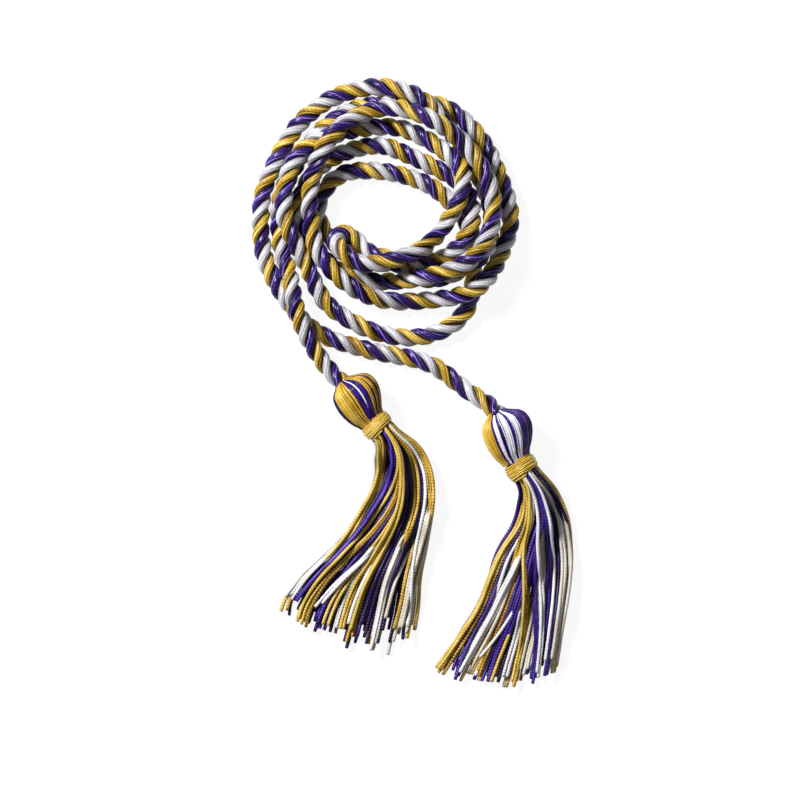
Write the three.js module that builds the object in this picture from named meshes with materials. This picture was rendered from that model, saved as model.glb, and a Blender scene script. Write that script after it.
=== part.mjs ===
// Honor cord: one three-ply twisted rayon rope with a tassel on each end, lying flat. The rope is
// folded at its middle and wound about three turns; its two ends leave the coil at the lower left
// and lower right of the view from above. Millimetres, +X right, +Y away, +Z up from the surface.
import * as THREE from 'three';

// ---- driving sizes ----
const ROPE_RADIUS = 3.45;         // outer radius of the three plies
const ROPE_SIDES = 8;
const ROPE_STEPS = 280;           // about one step every 5.5 mm, because the inner turns are tight
const COIL_MIDDLE = [-10.4, 68.0]; // the point that the route's bearings are taken about
const SHIFT = [0.28, -0.84, 0];  // puts the whole object's middle over the origin

const HEAD_SIDES = 24;
const NECK_SIDES = 24;
const SKIRT_COLUMNS = 9;          // points across one section of a tassel skirt
const SKIRT_EDGE = 0.3;           // height of a skirt section at its two edges, as a share of its crown

// Route of the rope's centre line, as control rows of a uniform cubic B-spline, from the left
// tassel's head inward through the coil to the fold, and back out to the right tassel's head.
// Columns: bearing about the coil's middle in degrees (0 = +X, 90 = +Y), distance from it, height.
const ROUTE_COLUMNS = { bearing: 0, reach: 1, height: 2 };
const ROUTE = [
  [266.2, 77.4, 26.0], [253.0, 68.4,  5.7], [243.1, 62.2,  8.1], [227.9, 54.0, 13.6],
  [209.6, 44.1,  7.1], [200.5, 44.9,  2.8], [172.9, 44.4,  4.1], [153.3, 41.5,  3.5],
  [134.3, 42.9,  3.5], [111.2, 45.2,  3.5], [ 95.8, 44.6,  3.5], [ 71.1, 48.9,  3.5],
  [ 57.6, 50.5,  3.5], [ 36.8, 49.6,  3.5], [ 19.0, 48.0,  3.7], [  0.1, 51.5,  4.6],
  [344.2, 49.3,  1.9], [322.2, 49.4, 14.1], [307.6, 41.9,  7.9], [288.1, 36.6,  1.5],
  [264.4, 34.7,  7.0], [239.7, 32.6, 10.8], [207.3, 32.4, 11.2], [179.5, 30.6, 10.4],
  [153.9, 34.1,  9.6], [128.5, 38.3, 21.5], [108.6, 41.7, 10.6], [ 87.2, 44.5, 10.0],
  [ 66.5, 42.7, 21.2], [ 44.2, 43.0,  9.4], [ 26.4, 43.1, 13.1], [  5.0, 44.9,  8.5],
  [343.6, 42.2, 19.3], [325.8, 38.2, 18.2], [293.0, 28.3, 12.5], [268.0, 26.9,  2.9],
  [242.6, 29.1,  3.8], [213.2, 31.7,  3.4], [182.0, 37.8,  3.6], [158.8, 34.9,  3.5],
  [136.4, 33.5,  3.6], [ 96.8, 29.8,  3.5], [ 74.6, 26.0,  3.6], [ 36.5, 29.3,  3.8],
  [ 18.2, 35.2,  3.4], [350.5, 36.8, 15.8], [320.4, 29.8,  1.2], [303.3, 22.2, 12.5],
  [244.8, 18.3,  9.6], [219.9, 14.9,  9.1], [199.7, 18.6, 10.1], [205.8, 24.4, 17.2],
  [233.5, 23.2, 19.1], [251.8, 22.3, 16.6], [315.3, 21.1, 20.6], [338.1, 22.1,  0.6],
  [  9.0, 30.0, 17.9], [ 29.6, 38.5,  8.7], [ 64.0, 35.0,  5.1], [ 82.6, 36.3,  2.9],
  [106.6, 36.5,  4.4], [128.7, 39.6, 11.6], [145.7, 45.0, 11.0], [175.6, 42.6, 11.3],
  [191.8, 39.0, 10.8], [221.4, 38.5,  5.1], [234.1, 43.8,  3.1], [257.5, 46.2,  4.0],
  [274.2, 49.6,  3.4], [291.9, 52.7,  3.6], [311.2, 52.0,  3.5], [324.6, 42.6,  3.5],
  [347.2, 38.7,  3.5], [ 24.2, 24.6,  3.5], [ 52.5, 18.6,  3.5], [ 84.1, 17.6,  3.5],
  [135.0, 26.7,  3.6], [167.1, 28.4,  3.4], [189.7, 28.5,  3.7], [243.5, 23.7,  3.4],
  [297.6, 19.7,  3.6], [295.7, 33.2,  3.2], [337.4, 45.0, 14.9], [352.1, 41.7,  4.1],
  [  0.9, 43.9,  3.4], [ 40.2, 42.4,  3.6], [ 47.3, 40.9,  3.3], [ 69.4, 48.7, 14.3],
  [ 85.9, 52.1,  8.0], [103.0, 52.5,  3.7], [119.4, 52.2,  3.5], [137.4, 51.1,  3.6],
  [156.0, 49.1,  3.5], [171.9, 51.3,  3.5], [192.8, 51.5,  3.5], [205.9, 52.5,  3.5],
  [228.1, 53.8,  3.5], [240.2, 55.3,  3.5], [259.3, 54.5,  4.0], [273.3, 56.3,  3.0],
  [288.8, 62.1,  5.4], [293.7, 77.0,  1.7], [300.6, 88.7,  9.9], [296.6, 99.1, 15.5],
];

// Egg-shaped tassel head as shares of its length (along) and its largest radius (radius).
const HEAD_PROFILE = [
  { along: 0.00, radius: 0.38 },
  { along: 0.05, radius: 0.58 },
  { along: 0.15, radius: 0.81 },
  { along: 0.29, radius: 0.96 },
  { along: 0.45, radius: 1.00 },
  { along: 0.62, radius: 0.94 },
  { along: 0.78, radius: 0.81 },
  { along: 0.92, radius: 0.66 },
  { along: 1.00, radius: 0.60 },
];

// Neck binding, a wound band with a slight barrel shape, as shares of its length and radius.
const NECK_PROFILE = [
  { along: 0.00, radius: 0.93 },
  { along: 0.15, radius: 0.98 },
  { along: 0.50, radius: 1.00 },
  { along: 0.85, radius: 0.98 },
  { along: 1.00, radius: 0.93 },
];

// Tassels. headTop and headEnd are the two ends of the head's axis, neckEnd the far end of the
// binding. skirt rows run from the neck to the cut ends: left and right edge, height of the crown,
// height of the underside, and bow, how far the middle of the section stands out past its edges.
const TASSELS = {
  left: {
    headTop: [-27.9, 0.5, 9.9],
    headEnd: [-16.2, -14.0, 8.9],
    headRadius: 9.5,
    neckEnd: [-12.0, -18.0, 8.8],
    neckRadius: 6.2,
    skirt: [
      { left: [-15.9, -22.2], right: [-7.7, -14.5], crown: 14.0, under: 3.2, bow: 0.0 },
      { left: [-15.4, -27.4], right: [-0.6, -20.6], crown: 13.4, under: 1.4, bow: 0.0 },
      { left: [-14.8, -33.0], right: [ 4.8, -27.8], crown: 12.6, under: 0.0, bow: 0.0 },
      { left: [-16.0, -40.0], right: [ 7.8, -36.0], crown: 11.8, under: 0.0, bow: 0.0 },
      { left: [-18.6, -46.4], right: [ 8.4, -45.4], crown: 11.0, under: 0.0, bow: 0.0 },
      { left: [-24.2, -55.9], right: [ 7.2, -55.4], crown: 10.2, under: 0.0, bow: 0.0 },
      { left: [-35.6, -68.0], right: [ 5.2, -66.6], crown:  9.2, under: 0.0, bow: 1.0 },
      { left: [-45.6, -76.6], right: [ 2.8, -78.2], crown:  8.2, under: 0.0, bow: 2.5 },
      { left: [-52.6, -85.0], right: [ 1.8, -90.4], crown:  7.2, under: 0.0, bow: 5.0 },
      { left: [-53.6, -89.6], right: [-0.4, -103.4], crown: 6.4, under: 0.0, bow: 8.6 },
    ],
  },
  right: {
    headTop: [33.7, -11.6, 9.9],
    headEnd: [41.6, -29.9, 8.9],
    headRadius: 9.4,
    neckEnd: [45.6, -35.6, 8.8],
    neckRadius: 6.4,
    skirt: [
      { left: [40.7, -39.4], right: [51.4, -32.5], crown: 14.0, under: 3.2, bow: 0.0 },
      { left: [42.2, -43.2], right: [54.8, -36.6], crown: 13.4, under: 1.4, bow: 0.0 },
      { left: [42.6, -47.8], right: [58.4, -43.2], crown: 12.6, under: 0.0, bow: 0.0 },
      { left: [40.6, -55.6], right: [62.0, -52.0], crown: 11.8, under: 0.0, bow: 0.0 },
      { left: [34.8, -65.6], right: [63.4, -62.8], crown: 11.0, under: 0.0, bow: 0.0 },
      { left: [30.0, -77.2], right: [63.6, -74.0], crown: 10.2, under: 0.0, bow: 0.0 },
      { left: [25.2, -89.0], right: [62.0, -86.8], crown:  9.2, under: 0.0, bow: 0.0 },
      { left: [19.0, -98.4], right: [60.0, -98.0], crown:  8.2, under: 0.0, bow: 1.5 },
      { left: [11.2, -109.2], right: [58.4, -108.0], crown: 7.2, under: 0.0, bow: 3.5 },
      { left: [ 7.6, -113.8], right: [56.8, -117.2], crown: 6.4, under: 0.0, bow: 5.5 },
    ],
  },
};

const GAP = 1.3;                  // space on the axis between a head and its binding, which meet at an angle

// ---- finishes ----
const purpleRayon = () => new THREE.MeshStandardMaterial({ color: 0x3b1f86, roughness: 0.38, metalness: 0 });
const goldRayon = () => new THREE.MeshStandardMaterial({ color: 0xcf9f2a, roughness: 0.38, metalness: 0 });
const whiteRayon = () => new THREE.MeshStandardMaterial({ color: 0xe4e4ea, roughness: 0.42, metalness: 0 });

// ---- rope ----
class RopeRoute extends THREE.Curve {
  constructor(rows) {
    super();
    const { bearing, reach, height } = ROUTE_COLUMNS;
    this.control = rows.map((row) => {
      const a = THREE.MathUtils.degToRad(row[bearing]);
      return new THREE.Vector3(
        COIL_MIDDLE[0] + row[reach] * Math.cos(a),
        COIL_MIDDLE[1] + row[reach] * Math.sin(a),
        row[height],
      );
    });
    this.arcLengthDivisions = 3000;
  }

  getPoint(t, target = new THREE.Vector3()) {
    const spans = this.control.length - 3;
    const u = Math.min(Math.max(t, 0), 1) * spans;
    const i = Math.min(Math.floor(u), spans - 1);
    const f = u - i;
    const weights = [
      (1 - f) ** 3 / 6,
      (3 * f ** 3 - 6 * f ** 2 + 4) / 6,
      (-3 * f ** 3 + 3 * f ** 2 + 3 * f + 1) / 6,
      f ** 3 / 6,
    ];
    target.set(0, 0, 0);
    weights.forEach((w, k) => target.addScaledVector(this.control[i + k], w));
    return target;
  }
}

function ropeGeometry() {
  const section = new THREE.Shape();
  for (let k = 0; k < ROPE_SIDES; k += 1) {
    const a = (2 * Math.PI * (k + 0.5)) / ROPE_SIDES;
    const x = ROPE_RADIUS * Math.cos(a);
    const y = ROPE_RADIUS * Math.sin(a);
    if (k === 0) section.moveTo(x, y);
    else section.lineTo(x, y);
  }
  section.closePath();
  return new THREE.ExtrudeGeometry(section, {
    steps: ROPE_STEPS,
    bevelEnabled: false,
    extrudePath: new RopeRoute(ROUTE),
  });
}

// ---- heads and necks ----
function turned(profile, from, to, radius, sides) {
  const start = new THREE.Vector3(...from);
  const axis = new THREE.Vector3(...to).sub(start);
  const length = axis.length();
  const outline = [new THREE.Vector2(0, 0)];
  profile.forEach((p) => outline.push(new THREE.Vector2(p.radius * radius, p.along * length)));
  outline.push(new THREE.Vector2(0, length));
  const geometry = new THREE.LatheGeometry(outline, sides);
  return { geometry, start, direction: axis.normalize() };
}

function placedTurned(name, profile, from, to, radius, sides, material) {
  const { geometry, start, direction } = turned(profile, from, to, radius, sides);
  const mesh = new THREE.Mesh(geometry, material);
  mesh.name = name;
  mesh.position.copy(start);
  mesh.quaternion.setFromUnitVectors(new THREE.Vector3(0, 1, 0), direction);
  return mesh;
}

function towards(from, to, distance) {
  const a = new THREE.Vector3(...from);
  const b = new THREE.Vector3(...to);
  return a.add(b.sub(a).normalize().multiplyScalar(distance)).toArray();
}

// ---- skirts ----
function skirtGeometry(rows) {
  const n = SKIRT_COLUMNS;
  const rings = rows.map((row, s) => {
    const left = new THREE.Vector2(...row.left);
    const right = new THREE.Vector2(...row.right);
    const across = right.clone().sub(left).normalize();
    const forward = new THREE.Vector2(across.y, -across.x);
    const low = [];
    const high = [];
    for (let c = 0; c < n; c += 1) {
      const f = c / (n - 1);
      const spot = left.clone().lerp(right, f).addScaledVector(forward, row.bow * 4 * f * (1 - f));
      const swell = SKIRT_EDGE + (1 - SKIRT_EDGE) * Math.sqrt(Math.max(0, 1 - (2 * f - 1) ** 2));
      low.push([spot.x, spot.y, row.under]);
      high.push([spot.x, spot.y, row.under + (row.crown - row.under) * swell]);
    }
    return [...low, ...high.reverse()];
  });
  const ringSize = 2 * n;
  const positions = rings.flat(2);
  const faces = [];
  for (let s = 0; s + 1 < rings.length; s += 1) {
    for (let k = 0; k < ringSize; k += 1) {
      const a = s * ringSize + k;
      const b = s * ringSize + ((k + 1) % ringSize);
      faces.push(a, b, b + ringSize, a, b + ringSize, a + ringSize);
    }
  }
  const cap = (s, flip) => {
    for (let c = 0; c + 1 < n; c += 1) {
      const o = s * ringSize;
      const low0 = o + c;
      const low1 = o + c + 1;
      const high0 = o + ringSize - 1 - c;
      const high1 = o + ringSize - 2 - c;
      const quad = [low0, low1, high1, low0, high1, high0];
      if (flip) quad.reverse();
      faces.push(...quad);
    }
  };
  cap(0, true);
  cap(rings.length - 1, false);
  const geometry = new THREE.BufferGeometry();
  geometry.setAttribute('position', new THREE.Float32BufferAttribute(positions, 3));
  geometry.setIndex(faces);
  geometry.computeVertexNormals();
  return geometry;
}

// ---- the whole cord ----
const honorCord = new THREE.Group();
honorCord.position.set(...SHIFT);

const rope = new THREE.Mesh(ropeGeometry(), purpleRayon());
rope.name = 'rope';
honorCord.add(rope);

for (const [side, t] of Object.entries(TASSELS)) {
  const headEnd = towards(t.headEnd, t.headTop, GAP);
  honorCord.add(placedTurned(`tassel_head_${side}`, HEAD_PROFILE, t.headTop, headEnd, t.headRadius, HEAD_SIDES,
    side === 'left' ? goldRayon() : whiteRayon()));
  honorCord.add(placedTurned(`neck_binding_${side}`, NECK_PROFILE, t.headEnd, t.neckEnd, t.neckRadius, NECK_SIDES, goldRayon()));
  const skirt = new THREE.Mesh(skirtGeometry(t.skirt), side === 'left' ? goldRayon() : whiteRayon());
  skirt.name = `tassel_skirt_${side}`;
  honorCord.add(skirt);
}

export default honorCord;
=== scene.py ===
"""Honor cord: a three-ply twisted rayon rope, purple, gold and white, folded and wound about three turns, with a
tassel on each end. Metres, +X right, +Y away, +Z up from the surface that it lies on."""
import math

import bpy
import mathutils
import numpy as np
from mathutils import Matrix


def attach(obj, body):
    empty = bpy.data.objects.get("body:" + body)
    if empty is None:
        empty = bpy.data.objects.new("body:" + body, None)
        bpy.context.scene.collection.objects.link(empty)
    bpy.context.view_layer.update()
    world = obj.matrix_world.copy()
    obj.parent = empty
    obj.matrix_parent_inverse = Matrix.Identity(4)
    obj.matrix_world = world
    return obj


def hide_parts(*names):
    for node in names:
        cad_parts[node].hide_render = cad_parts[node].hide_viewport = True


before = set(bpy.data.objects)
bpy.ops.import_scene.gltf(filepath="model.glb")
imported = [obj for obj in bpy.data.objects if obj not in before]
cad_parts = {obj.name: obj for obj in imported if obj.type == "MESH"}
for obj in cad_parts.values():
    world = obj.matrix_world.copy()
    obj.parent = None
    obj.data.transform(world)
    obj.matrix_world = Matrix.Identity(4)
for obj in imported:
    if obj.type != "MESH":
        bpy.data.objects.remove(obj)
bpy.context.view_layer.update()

MM = 0.001

# ---- driving sizes, in millimetres ----
SHIFT = np.array([0.28, -0.84, 0.0])    # from the tables' frame to the part's own
COIL_MIDDLE = (-10.4, 68.0)             # the route's bearings are taken about this point
PLY_OFFSET = 1.96                       # from the rope's middle to the middle of a ply
PLY_RADIAL = 1.77                       # half thickness of a ply, outward
PLY_ACROSS = 1.72                       # half width of a ply, across its run
ROPE_STEP = 0.86                        # length of one mesh step along the rope
YARNS = 8                               # yarns seen round one ply
FLOOR_GAP = 0.06

# Control rows of a uniform cubic B-spline along the rope, from the left tassel's head in to the fold and out to the
# right tassel's head. Columns: bearing about the coil's middle in degrees, distance from it, height, and how many
# turns the twist has made.
ROUTE = [
    (266.2, 77.4, 26.0, -0.94), (253.0, 68.4, 5.7, 0.01), (243.1, 62.2, 8.1, 0.70), (227.9, 54.0, 13.6, 1.71),
    (209.6, 44.1, 7.1, 2.81), (200.5, 44.9, 2.8, 3.19), (172.9, 44.4, 4.1, 4.32), (153.3, 41.5, 3.5, 5.18),
    (134.3, 42.9, 3.5, 6.05), (111.2, 45.2, 3.5, 7.11), (95.8, 44.6, 3.5, 7.88), (71.1, 48.9, 3.5, 9.11),
    (57.6, 50.5, 3.5, 9.78), (36.8, 49.6, 3.5, 10.75), (19.0, 48.0, 3.7, 11.60), (0.1, 51.5, 4.6, 12.53),
    (344.2, 49.3, 1.9, 13.30), (322.2, 49.4, 14.1, 14.42), (307.6, 41.9, 7.9, 15.09), (288.1, 36.6, 1.5, 15.82),
    (264.4, 34.7, 7.0, 16.50), (239.7, 32.6, 10.8, 17.35), (207.3, 32.4, 11.2, 18.30), (179.5, 30.6, 10.4, 19.01),
    (153.9, 34.1, 9.6, 19.71), (128.5, 38.3, 21.5, 20.61), (108.6, 41.7, 10.6, 21.37), (87.2, 44.5, 10.0, 22.16),
    (66.5, 42.7, 21.2, 23.12), (44.2, 43.0, 9.4, 24.14), (26.4, 43.1, 13.1, 24.82), (5.0, 44.9, 8.5, 25.55),
    (343.6, 42.2, 19.3, 26.50), (325.8, 38.2, 18.2, 27.25), (293.0, 28.3, 12.5, 28.34), (268.0, 26.9, 2.9, 29.05),
    (242.6, 29.1, 3.8, 29.61), (213.2, 31.7, 3.4, 30.41), (182.0, 37.8, 3.6, 31.33), (158.8, 34.9, 3.5, 32.00),
    (136.4, 33.5, 3.6, 32.72), (96.8, 29.8, 3.5, 34.00), (74.6, 26.0, 3.6, 34.81), (36.5, 29.3, 3.8, 35.95),
    (18.2, 35.2, 3.4, 36.60), (350.5, 36.8, 15.8, 37.62), (320.4, 29.8, 1.2, 38.61), (303.3, 22.2, 12.5, 39.19),
    (244.8, 18.3, 9.6, 40.25), (219.9, 14.9, 9.1, 40.60), (199.7, 18.6, 10.1, 40.95), (205.8, 24.4, 17.2, 41.30),
    (233.5, 23.2, 19.1, 41.91), (251.8, 22.3, 16.6, 42.33), (315.3, 21.1, 20.6, 43.48), (338.1, 22.1, 0.6, 43.98),
    (9.0, 30.0, 17.9, 44.85), (29.6, 38.5, 8.7, 45.77), (64.0, 35.0, 5.1, 47.04), (82.6, 36.3, 2.9, 47.73),
    (106.6, 36.5, 4.4, 48.51), (128.7, 39.6, 11.6, 49.40), (145.7, 45.0, 11.0, 50.07), (175.6, 42.6, 11.3, 51.31),
    (191.8, 39.0, 10.8, 51.91), (221.4, 38.5, 5.1, 53.06), (234.1, 43.8, 3.1, 53.62), (257.5, 46.2, 4.0, 54.56),
    (274.2, 49.6, 3.4, 55.29), (291.9, 52.7, 3.6, 56.12), (311.2, 52.0, 3.5, 56.90), (324.6, 42.6, 3.5, 57.54),
    (347.2, 38.7, 3.5, 58.36), (24.2, 24.6, 3.5, 59.68), (52.5, 18.6, 3.5, 60.49), (84.1, 17.6, 3.5, 61.21),
    (135.0, 26.7, 3.6, 62.36), (167.1, 28.4, 3.4, 63.01), (189.7, 28.5, 3.7, 63.42), (243.5, 23.7, 3.4, 64.49),
    (297.6, 19.7, 3.6, 65.41), (295.7, 33.2, 3.2, 65.84), (337.4, 45.0, 14.9, 67.36), (352.1, 41.7, 4.1, 68.05),
    (0.9, 43.9, 3.4, 68.54), (40.2, 42.4, 3.6, 70.20), (47.3, 40.9, 3.3, 70.64), (69.4, 48.7, 14.3, 71.86),
    (85.9, 52.1, 8.0, 72.70), (103.0, 52.5, 3.7, 73.57), (119.4, 52.2, 3.5, 74.38), (137.4, 51.1, 3.6, 75.34),
    (156.0, 49.1, 3.5, 76.27), (171.9, 51.3, 3.5, 77.03), (192.8, 51.5, 3.5, 78.04), (205.9, 52.5, 3.5, 78.73),
    (228.1, 53.8, 3.5, 79.93), (240.2, 55.3, 3.5, 80.64), (259.3, 54.5, 4.0, 81.67), (273.3, 56.3, 3.0, 82.47),
    (288.8, 62.1, 5.4, 83.42), (293.7, 77.0, 1.7, 84.18), (300.6, 88.7, 9.9, 84.95), (296.6, 99.1, 15.5, 85.39),
]

# Tassels. head_top and head_end are the ends of the head's axis, neck_end the far end of the binding. Skirt rows run
# from the neck to the cut ends: left edge, right edge, height of the crown, height of the underside, and how far the
# middle of the row stands out past its edges.
TASSELS = {
    "left": dict(
        head_top=(-27.9, 0.5, 9.9), head_end=(-16.2, -14.0, 8.9), head_radius=9.5,
        neck_end=(-12.0, -18.0, 8.8), neck_radius=6.2,
        skirt=[
            (-15.9, -22.2, -7.7, -14.5, 14.0, 3.2, 0.0),
            (-15.4, -27.4, -0.6, -20.6, 13.4, 1.4, 0.0),
            (-14.8, -33.0, 4.8, -27.8, 12.6, 0.0, 0.0),
            (-16.0, -40.0, 7.8, -36.0, 11.8, 0.0, 0.0),
            (-18.6, -46.4, 8.4, -45.4, 11.0, 0.0, 0.0),
            (-24.2, -55.9, 7.2, -55.4, 10.2, 0.0, 0.0),
            (-35.6, -68.0, 5.2, -66.6, 9.2, 0.0, 1.0),
            (-45.6, -76.6, 2.8, -78.2, 8.2, 0.0, 2.5),
            (-52.6, -85.0, 1.8, -90.4, 7.2, 0.0, 5.0),
            (-53.6, -89.6, -0.4, -103.4, 6.4, 0.0, 8.6),
        ],
    ),
    "right": dict(
        head_top=(33.7, -11.6, 9.9), head_end=(41.6, -29.9, 8.9), head_radius=9.8,
        neck_end=(45.6, -35.6, 8.8), neck_radius=6.4,
        skirt=[
            (40.7, -39.4, 51.4, -32.5, 14.0, 3.2, 0.0),
            (42.2, -43.2, 54.8, -36.6, 13.4, 1.4, 0.0),
            (42.6, -47.8, 58.4, -43.2, 12.6, 0.0, 0.0),
            (40.6, -55.6, 62.0, -52.0, 11.8, 0.0, 0.0),
            (34.8, -65.6, 63.4, -62.8, 11.0, 0.0, 0.0),
            (30.0, -77.2, 63.6, -74.0, 10.2, 0.0, 0.0),
            (25.2, -89.0, 62.0, -86.8, 9.2, 0.0, 0.0),
            (19.0, -98.4, 60.0, -98.0, 8.2, 0.0, 1.5),
            (11.2, -109.2, 58.4, -108.0, 7.2, 0.0, 3.5),
            (7.6, -113.8, 56.8, -117.2, 6.4, 0.0, 5.5),
        ],
    ),
}

# Shades round a head, by the angle at which each one ends: from the left edge (-90) over the top (0) to the right
# edge (90), and on underneath.
# Several of these shades are lit and shaded copies of the yarn colours, painted light and shade, as SHADES tells.
HEAD_BANDS = {
    "left": [(-76, "white"), (-60, "dark"), (-46, "gold"), (-34, "lit_gold"), (-3, "gold"), (9, "purple"), (13, "painted_glint"), (25, "purple"),
             (30, "dark"), (39, "gold"), (43, "dark"), (52, "gold"), (57, "shaded_gold"), (64, "dark"), (78, "gold"), (84, "shaded_gold"), (100, "dark"), (130, "gold"),
             (165, "purple"), (200, "white"), (235, "gold"), (270, "purple")],
    "right": [(-60, "lit_gold"), (-45, "gold"), (-42, "dark"), (-35, "gold"), (-27, "purple"), (-20, "white"), (-12, "purple"),
              (6, "white"), (15, "purple"), (35, "white"), (50, "purple"), (54, "shaded_gold"), (95, "purple"), (130, "white"),
              (165, "gold"), (200, "purple"), (235, "white"), (270, "gold")],
}
HEAD_PROFILE = [(0.00, 0.44), (0.04, 0.66), (0.12, 0.88), (0.24, 1.00), (0.42, 1.04),
                (0.60, 0.98), (0.78, 0.84), (0.92, 0.68), (1.00, 0.60)]
HEAD_LEAN = 1.5        # how far the head's shoulder stands out to the right of where the rope enters, in mm


# ---- meshes ----
class Tubes:
    """Collects closed tubes that become one mesh, with a UV map (round, along in mm) and how each point is shaded."""

    def __init__(self):
        self.points, self.corners, self.starts, self.uvs = [], [], [], []
        self.shades = {"groove": [], "tone": [], "painted_shade": []}
        self.count = self.loops = 0

    def add(self, rings, along, groove=0.0, tone=0.5, painted_shade=0.0):
        """rings is (stations, sides, 3) in mm, along the distance of each station."""
        n, m, _ = rings.shape
        ends = rings[[0, -1]].mean(axis=1)
        self.points.append(np.concatenate([rings.reshape(-1, 3), ends]))
        for key, value in (("groove", groove), ("tone", tone), ("painted_shade", painted_shade)):
            value = np.broadcast_to(value, (n, m))
            self.shades[key].append(np.concatenate([value.ravel(), value[[0, -1]].mean(axis=1)]))
        i, j = np.meshgrid(np.arange(n - 1), np.arange(m), indexing="ij")
        k = (j + 1) % m
        quads = np.stack([i * m + j, i * m + k, (i + 1) * m + k, (i + 1) * m + j], -1).reshape(-1, 4)
        u0, u1 = j / m, (j + 1) / m
        v0, v1 = np.broadcast_to(along[:-1, None], i.shape), np.broadcast_to(along[1:, None], i.shape)
        uv = np.stack([np.stack([u0, v0], -1), np.stack([u1, v0], -1), np.stack([u1, v1], -1), np.stack([u0, v1], -1)], -2)
        j = np.arange(m)
        first = np.stack([np.full(m, n * m), (j + 1) % m, j], -1)
        last = np.stack([np.full(m, n * m + 1), (n - 1) * m + j, (n - 1) * m + (j + 1) % m], -1)
        caps = np.concatenate([first, last])
        cap_uv = np.zeros((2 * m, 3, 2))
        cap_uv[:m, :, 1], cap_uv[m:, :, 1] = along[0], along[-1]
        self.corners.append(np.concatenate([quads.ravel(), caps.ravel()]) + self.count)
        self.starts.append(self.loops + np.concatenate([np.arange(len(quads)) * 4, len(quads) * 4 + np.arange(len(caps)) * 3]))
        self.uvs.append(np.concatenate([uv.reshape(-1, 2), cap_uv.reshape(-1, 2)]))
        self.count += n * m + 2
        self.loops += quads.size + caps.size

    def object(self, name, material, slot):
        mesh = bpy.data.meshes.new(name)
        points = (np.concatenate(self.points) + SHIFT) * MM
        points[:, 2] = np.maximum(points[:, 2], FLOOR_GAP * MM)
        corners, starts = np.concatenate(self.corners), np.concatenate(self.starts)
        mesh.vertices.add(len(points))
        mesh.vertices.foreach_set("co", points.ravel().astype(np.float32))
        mesh.loops.add(len(corners))
        mesh.loops.foreach_set("vertex_index", corners.astype(np.int32))
        mesh.polygons.add(len(starts))
        mesh.polygons.foreach_set("loop_start", starts.astype(np.int32))
        mesh.polygons.foreach_set("use_smooth", np.ones(len(starts), bool))
        uv = mesh.uv_layers.new(name="run")
        uv.data.foreach_set("uv", np.concatenate(self.uvs).ravel().astype(np.float32))
        for key, values in self.shades.items():
            layer = mesh.attributes.new(key, "FLOAT", "POINT")
            layer.data.foreach_set("value", np.concatenate(values).astype(np.float32))
        mesh.update(calc_edges=True)
        mesh.validate()
        mesh.materials.append(material)
        piece = bpy.data.objects.new(name, mesh)
        bpy.context.scene.collection.objects.link(piece)
        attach(piece, "root")
        return piece


def unit(v):
    return v / np.linalg.norm(v, axis=-1, keepdims=True)


def frame_along(path, hint):
    """Tangent, first and second cross direction along a path, the first one as near hint as it can be."""
    tangent = unit(np.gradient(path, axis=0))
    first = unit(hint - tangent * (hint * tangent).sum(-1, keepdims=True))
    return tangent, first, np.cross(tangent, first)


def distance(path):
    return np.r_[0.0, np.cumsum(np.linalg.norm(np.diff(path, axis=0), axis=1))]


def resample(path, step):
    along = distance(path)
    s = np.linspace(0, along[-1], max(4, int(round(along[-1] / step)) + 1))
    return np.stack([np.interp(s, along, path[:, k]) for k in range(path.shape[1])], 1)


def smooth_noise(rng, n, length, cell):
    """A smooth random curve of n values, about -1 to 1, that turns over every cell of length."""
    knots = rng.uniform(-1, 1, int(length / cell) + 4)
    x = np.linspace(0, len(knots) - 4, n)
    i = np.minimum(x.astype(int), len(knots) - 4)
    f = x - i
    w = [(1 - f) ** 3, 3 * f ** 3 - 6 * f ** 2 + 4, -3 * f ** 3 + 3 * f ** 2 + 3 * f + 1, f ** 3]
    return sum(k * knots[i + j] for j, k in enumerate(w)) / 6 * 1.5


def strand(tubes, path, radius, sides, tone=0.5, hint=(0, 0, 1.0), ridge=0.0, lay=1.6, spin=0.0, painted_shade=0.0, shade=0.0):
    """A round strand along a path, with an optional laid ridge, closed by a softly cut end."""
    n = len(path)
    _, first, second = frame_along(path, np.array(hint, float))
    along = distance(path)
    angle = np.arange(sides) * 2 * np.pi / sides + spin
    r = np.broadcast_to(radius, (n,)).astype(float)[:, None] * np.ones((n, sides))
    if ridge:
        wave = np.cos(2 * angle[None] - 2 * np.pi * along[:, None] / lay)
        r = r * (1 + ridge * wave)
        groove = 0.5 - 0.5 * wave
    else:
        groove = np.zeros((n, sides))
    r[0] *= 0.8
    r[-1] *= 0.85
    rings = path[:, None] + r[..., None] * (np.cos(angle)[None, :, None] * first[:, None] + np.sin(angle)[None, :, None] * second[:, None])
    # painted shade: darker on the sides and underside of the strand, away from the hint direction, by the amount given
    # as shade
    painted_side_shade = shade * np.clip((0.70 - np.cos(angle)) / 0.85, 0, 1)
    tubes.add(rings, along, groove, tone, np.maximum(painted_shade, painted_side_shade[None]))


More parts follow.
